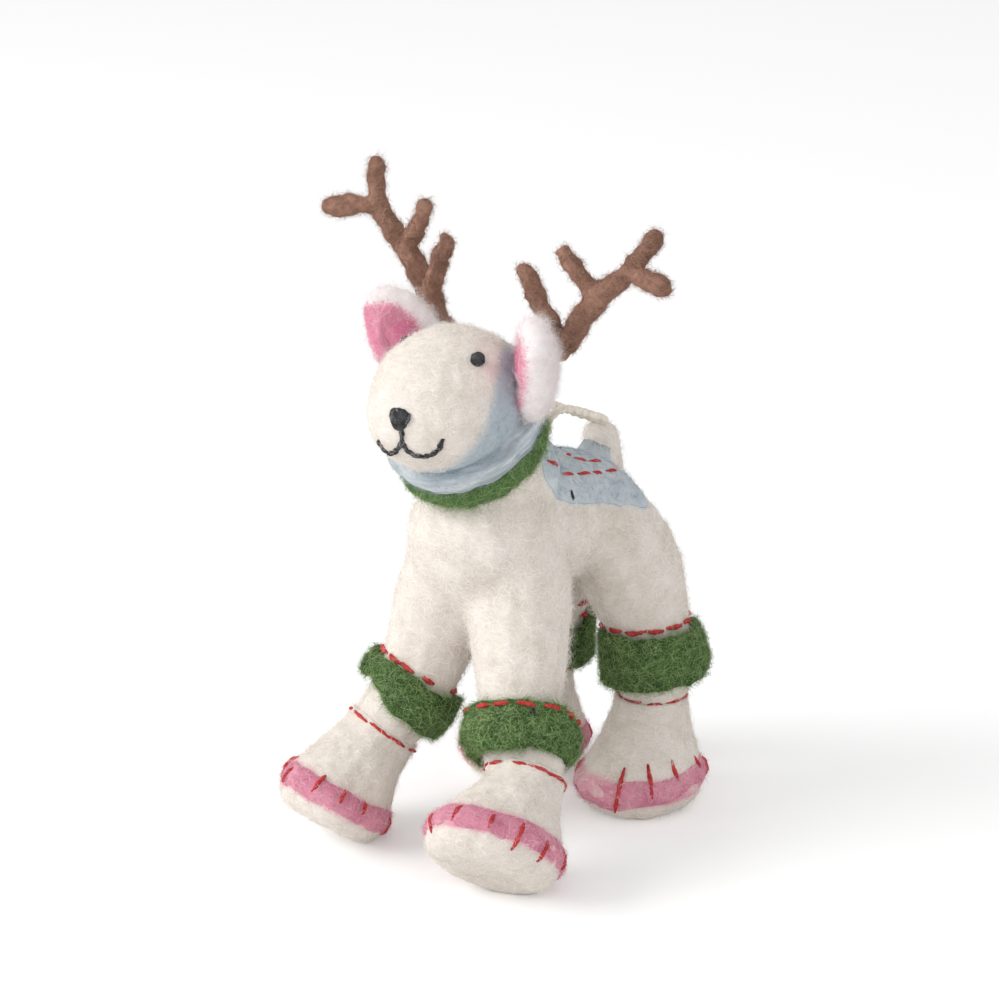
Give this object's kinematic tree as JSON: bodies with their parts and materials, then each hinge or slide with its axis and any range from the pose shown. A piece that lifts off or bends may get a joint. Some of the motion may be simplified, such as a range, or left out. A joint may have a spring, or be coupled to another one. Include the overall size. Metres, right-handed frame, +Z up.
{
  "type": "felt ornament",
  "caption": "Needle-felted reindeer ornament that stands in stitched boots and leg warmers, with scarf, collar, back blanket, bendable wool antlers and a twine hanging loop.",
  "frame": {"origin": "under the middle of the animal's box, measured without its loop, on the surface it stands on", "axes": "+Z up, the animal faces -Y and its left side is +X"},
  "size_m": [0.079, 0.0762, 0.1204],
  "materials": {
    "white_wool": "needle felt",
    "pink_wool": "needle felt",
    "green_wool": "fluffy wool",
    "blue_wool": "needle felt",
    "brown_wool": "wrapped wool",
    "red_thread": "embroidery floss",
    "black_thread": "embroidery floss",
    "twine": "twisted twine",
    "wire": "drawn"
  },
  "bodies": {
    "animal": {"torso": "white_wool", "head": "white_wool", "tail": "white_wool", "scarf": "blue_wool", "collar": "green_wool", "nose": "black_thread", "mouth_thread": "black_thread", "left_eye": "black_thread", "left_ear": "white_wool", "left_ear_lining": "pink_wool", "right_eye": "black_thread", "right_ear": "white_wool", "right_ear_lining": "pink_wool", "front_left_leg": "white_wool", "front_left_boot": "white_wool", "front_left_welt_band": "pink_wool", "front_left_cuff": "green_wool", "front_left_cuff_thread": "red_thread", "front_left_ankle_thread": "red_thread", "front_right_leg": "white_wool", "front_right_boot": "white_wool", "front_right_welt_band": "pink_wool", "front_right_cuff": "green_wool", "front_right_cuff_thread": "red_thread", "front_right_ankle_thread": "red_thread", "rear_left_leg": "white_wool", "rear_left_boot": "white_wool", "rear_left_welt_band": "pink_wool", "rear_left_cuff": "green_wool", "rear_left_cuff_thread": "red_thread", "rear_left_ankle_thread": "red_thread", "rear_right_leg": "white_wool", "rear_right_boot": "white_wool", "rear_right_welt_band": "pink_wool", "rear_right_cuff": "green_wool", "rear_right_cuff_thread": "red_thread", "rear_right_ankle_thread": "red_thread", "blanket": "blue_wool", "left_upper_row": "red_thread", "right_upper_row": "red_thread", "left_lower_row": "red_thread", "right_lower_row": "red_thread", "loop_knot": "twine"},
    "left_antler": {"left_antler": "brown_wool", "left_antler_wire": "wire"},
    "right_antler": {"right_antler": "brown_wool", "right_antler_wire": "wire"},
    "loop": {"hanging_loop": "twine"}
  },
  "joints": [
    {"name": "left_antler_bend", "type": "hinge", "parent": "animal", "child": "left_antler", "pos_m": [0.0086, -0.00183, 0.0909], "axis": [0, 1, 0], "range_deg": [-12, 12]},
    {"name": "right_antler_bend", "type": "hinge", "parent": "animal", "child": "right_antler", "pos_m": [-0.0086, -0.00183, 0.0909], "axis": [0, -1, 0], "range_deg": [-12, 12]},
    {"name": "loop_lift", "type": "hinge", "parent": "animal", "child": "loop", "pos_m": [0, 0.01178, 0.0727], "axis": [1, 0, 0], "range_deg": [0, 70]}
  ]
}
